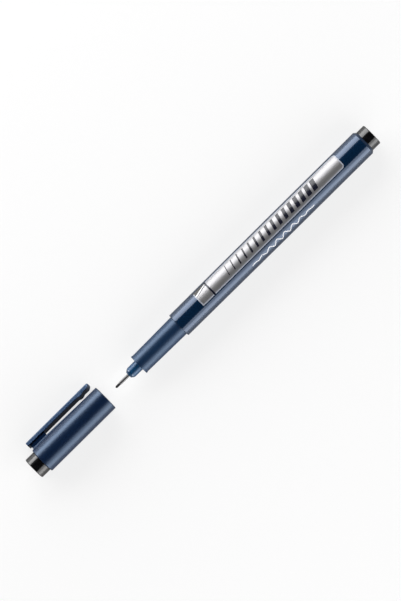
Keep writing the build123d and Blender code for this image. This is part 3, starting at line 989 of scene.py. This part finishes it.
def main_panel():
    """Silver panel with two rounded rear corners: a band drawn in at its end by a quarter round."""
    start, end = MAIN_PANEL
    turn = end - MAIN_PANEL_CORNER * (1 - np.sin(np.linspace(0, pi / 2, PANEL_CORNER_RINGS)))
    station = np.concatenate([np.linspace(start, turn[0], PANEL_RINGS)[:-1], turn])
    inset = np.degrees(quarter_drop(end - station, MAIN_PANEL_CORNER) / BARREL_RADIUS)
    return printed_band(station, PANEL_LOW + inset, PANEL_HIGH - inset, PRINT_LIFT)


def panel_border():
    """Pale line just inside the panel's lower, rear and upper edges."""
    start, end = MAIN_PANEL[0], MAIN_PANEL[1] - BORDER_INSET
    low, high = around(PANEL_LOW) + BORDER_INSET, around(PANEL_HIGH) - BORDER_INSET
    corners = [
        (start, low, 0),
        (end, low, MAIN_PANEL_CORNER),
        (end, high, MAIN_PANEL_CORNER),
        (start, high, 0),
    ]
    return printed_line(rounded_outline(corners, closed=False), BORDER_WIDTH, MARK_LIFT)


def front_block():
    """Small silver block in front of the panel."""
    return printed_band(np.linspace(*FRONT_BLOCK, BLOCK_RINGS), PANEL_LOW, PANEL_HIGH, PRINT_LIFT)


def front_corner():
    """Dark corner of the block, above a slanted cut."""
    cut = np.linspace(*FRONT_CUT, BLOCK_RINGS)
    return printed_band(np.linspace(*FRONT_BLOCK, BLOCK_RINGS), cut, PANEL_HIGH, MARK_LIFT)


def front_line(drop):
    """Line along the block's slanted cut, with its lower side at a distance below the cut."""
    station = np.array([FRONT_BLOCK[0] + BORDER_WIDTH, FRONT_BLOCK[1]])
    cut = np.interp(station, FRONT_BLOCK, around(np.array(FRONT_CUT)))
    return printed_line(np.stack([station, cut - drop], -1), CUT_LINE_WIDTH, MARK_LIFT)


def front_border():
    """Pale line inside the block's lower and front edges, up to the height of the cut's rear end."""
    front, back = FRONT_BLOCK[0] + BORDER_INSET, FRONT_BLOCK[1]
    low, high = around(PANEL_LOW) + BORDER_INSET, around(FRONT_CUT[1])
    corners = [(front, high, 0), (front, low, BORDER_WIDTH), (back, low, 0)]
    return printed_line(rounded_outline(corners, closed=False), BORDER_WIDTH, LINE_LIFT)


def divider():
    """Dark line between the block and the panel."""
    low, high = PANEL_LOW - DIVIDER_PAST_LOW, PANEL_HIGH + DIVIDER_PAST_HIGH
    return printed_band(np.linspace(*DIVIDER, DIVIDER_RINGS), low, high, PRINT_LIFT)


def strokes():
    """Row of slanted strokes on the panel, whose width grows evenly from the first to the last."""
    share = np.linspace(0, 1, STROKE_POINTS)[None]
    edge = np.linspace(-0.5, 0.5, STROKE_RINGS)[:, None]
    low, high = STROKE_ANGLES
    angle = low + (high - low) * share + 0 * edge
    slant = STROKE_SLANT * (share - 0.5)
    places = STROKE_FROM + STROKE_PITCH * np.arange(STROKE_COUNT)
    widths = np.linspace(*STROKE_WIDTHS, STROKE_COUNT)
    return [printed(place + width * edge + slant, angle, MARK_LIFT) for place, width in zip(places, widths)]


def wave_line():
    """White drawn line of even width: a wave along the barrel whose swing grows and fades as a half sine."""
    share = np.linspace(0, 1, WAVE_POINTS)
    station = WAVE_SPAN[0] + (WAVE_SPAN[1] - WAVE_SPAN[0]) * share
    swing = WAVE_SWING * np.sin(pi * share)
    angle = WAVE_ANGLE + swing * np.sin(2 * pi * WAVE_COUNT * share)
    return printed_line(np.stack([station, around(angle)], -1), WAVE_WIDTH, MARK_LIFT)


def build_pen(black):
    """The pen's own pieces, on its own body. The ink core and its wrap keep their CAD meshes."""
    section = satin_navy("satin_section", SECTION_SHADES, SECTION_ROUGHNESS)
    turned_pieces = [
        ("barrel_body", barrel_outline(), gloss_navy(), "navy_gloss", "barrel", True),
        ("section_body", section_outline(), section, "navy_satin", "grip_section", True),
        ("nose_body", nose_outline(), nose_navy(), "nose_navy", "nib_holder", True),
        ("tube_body", tube_outline(), nib_steel(), "nib_steel", "nib_tube", True),
        ("nib_body", nib_outline(), nib_fibre(), "nib_fibre", "fibre_nib", False),
        ("rear_plug_body", rear_plug_outline(), black, "plug_black", "rear_plug", False),
    ]
    for name, outline, finish, slot, node, rows_close in turned_pieces:
        add_piece(name, [turned(outline)], finish, "pen", [node], rows_close)
    for node, finish in (("ink_reservoir", reservoir_fibre()), ("reservoir_wrap", wrap_film())):
        frame["nodes"][node].data.materials.clear()
        frame["nodes"][node].data.materials.append(finish)


def build_print():
    """The print on the barrel, which rides with the pen."""
    silver = silver_ink("silver_ink", SILVER_SHADES)
    grey = silver_ink("silver_grey", SILVER_GREY_SHADES)
    bright = silver_ink("silver_line", SILVER_LINE_SHADES)
    shaded = silver_ink("silver_corner", SILVER_CORNER_SHADES)
    pale = print_ink("pale_ink", PALE_INK_SHADES)
    dark = print_ink("dark_ink", DARK_INK_SHADES)
    white = print_ink("white_ink", WHITE_INK_SHADES)
    grey_drop = 2 * CUT_LINE_WIDTH + CUT_LINE_GAP
    films = [
        ("panel_main", [main_panel()], silver, "panel_silver"),
        ("panel_border", [panel_border()], pale, "panel_silver"),
        ("panel_front", [front_block()], silver, "panel_silver"),
        ("panel_front_corner", [front_corner()], shaded, "panel_silver"),
        ("panel_front_bright", [front_line(CUT_LINE_WIDTH)], bright, "panel_silver"),
        ("panel_front_grey", [front_line(grey_drop)], grey, "panel_silver"),
        ("panel_front_border", [front_border()], pale, "panel_silver"),
        ("panel_divider", [divider()], dark, "print_dark"),
        ("panel_strokes", strokes(), dark, "print_dark"),
        ("wave_line", [wave_line()], white, "print_white"),
    ]
    for name, grids, finish, slot in films:
        add_piece(name, grids, finish, "pen")


def build_cap(black):
    """The cap's pieces, on its own body. The clip is smoother than the wall. Its arm carries painted light:
    it is the cap's own navy moulding with a bluer, lighter base colour, standing in for light falling on and
    through the thin arm.
    """
    satin = satin_navy("satin_cap", CAP_SHADES, CAP_ROUGHNESS)
    # Painted light: the arm's finish is the cap's moulding with a bluer, lighter base colour for the light
    # on and through it
    polished_arm_painted_light = satin_navy("satin_clip", CLIP_PAINTED_LIGHT_SHADES, CLIP_ROUGHNESS)
    polished_foot = satin_navy("satin_foot", CAP_SHADES, CLIP_ROUGHNESS)
    natural = liner_plastic()
    add_piece("cap_tube", [turned(cap_outline())], satin, "cap", ["cap_shell"], True)
    add_piece("cap_plug_body", [turned(cap_plug_outline())], black, "cap", ["cap_plug"])
    add_piece("liner_body", [turned(liner_outline())], natural, "cap", ["cap_liner"])
    clip_pieces = [
        ("clip_arm", clip_arm(), polished_arm_painted_light),
        ("clip_foot", clip_foot(), polished_foot),
        ("clip_rib", clip_rib(), satin),
    ]
    for name, grid, finish in clip_pieces:
        add_piece(name, [grid], finish, "cap", ["cap_shell"])


def build_floor():
    """Table top under the pen."""
    half = FLOOR_HALF * MM
    corners = [(-half, -half, 0), (half, -half, 0), (half, half, 0), (-half, half, 0)]
    mesh = bpy.data.meshes.new("floor")
    mesh.from_pydata(corners, [], [(0, 1, 2, 3)])
    mesh.materials.append(floor_paper())
    floor = bpy.data.objects.new("floor", mesh)
    bpy.context.scene.collection.objects.link(floor)


def add_softbox(name, side, along, upright, radiance):
    """Upright softbox beside the pen, between two stations along it and two heights over the table. A lamp's
    power is its brightness times pi times its area."""
    lamp = bpy.data.lights.new(name, "AREA")
    lamp.shape = "RECTANGLE"
    lamp.size = (along[1] - along[0]) * MM
    lamp.size_y = (upright[1] - upright[0]) * MM
    lamp.energy = radiance * pi * lamp.size * lamp.size_y
    softbox = bpy.data.objects.new(name, lamp)
    softbox.location = Vector((sum(along) / 2, side * SOFTBOX_DISTANCE, sum(upright) / 2)) * MM
    softbox.rotation_euler = Vector((0, -side, 0)).to_track_quat("-Z", "Y").to_euler()
    softbox.visible_camera = False
    bpy.context.scene.collection.objects.link(softbox)


def build_lights():
    """Two banks of softboxes along the pen, strongest near the table and lower beside the cap's clip."""
    for softbox in SOFTBOXES:
        add_softbox(*softbox)


def build_sky():
    """Soft studio surroundings, pale near the table and dark overhead."""
    world = bpy.data.worlds.new("studio")
    world.use_nodes = True
    bpy.context.scene.world = world
    nodes = Nodes(world.node_tree)
    direction = nodes.add("ShaderNodeTexCoord", {}, {}, "Generated")
    height = nodes.add("ShaderNodeSeparateXYZ", {}, {0: direction}, "Z")
    sky = nodes.mix(SKY_LOW, SKY_HIGH, nodes.smooth(height, low=0.0, high=SKY_DARK_HEIGHT))
    nodes.feed(world.node_tree.nodes["Background"].inputs["Color"], sky)


def build_camera():
    """Camera that looks down on the pen, with the pen's middle at its pixel in the image."""
    data = bpy.data.cameras.new("camera")
    data.sensor_width = SENSOR
    data.lens = SENSOR * CAMERA_HEIGHT / (IMAGE_SIZE[1] * PIXEL)
    data.clip_end = CAMERA_REACH * MM
    camera = bpy.data.objects.new("camera", data)
    right = Vector((cos(PEN_TURN), -sin(PEN_TURN), 0))
    up = Vector((sin(PEN_TURN), cos(PEN_TURN), 0))
    offset_right = (MIDDLE_PIXEL[0] - IMAGE_SIZE[0] / 2) * PIXEL
    offset_up = (IMAGE_SIZE[1] / 2 - MIDDLE_PIXEL[1]) * PIXEL
    middle = Vector((0, AXIS_Y, AXIS_Z + CAMERA_HEIGHT))
    camera.location = (middle - right * offset_right - up * offset_up) * MM
    camera.rotation_euler = (0, 0, -PEN_TURN)
    bpy.context.scene.collection.objects.link(camera)
    bpy.context.scene.camera = camera


gloss_black = plug_black()
build_pen(gloss_black)
build_print()
build_cap(gloss_black)
build_floor()
build_sky()
build_lights()
build_camera()
bpy.context.scene.view_settings.view_transform = "Standard"
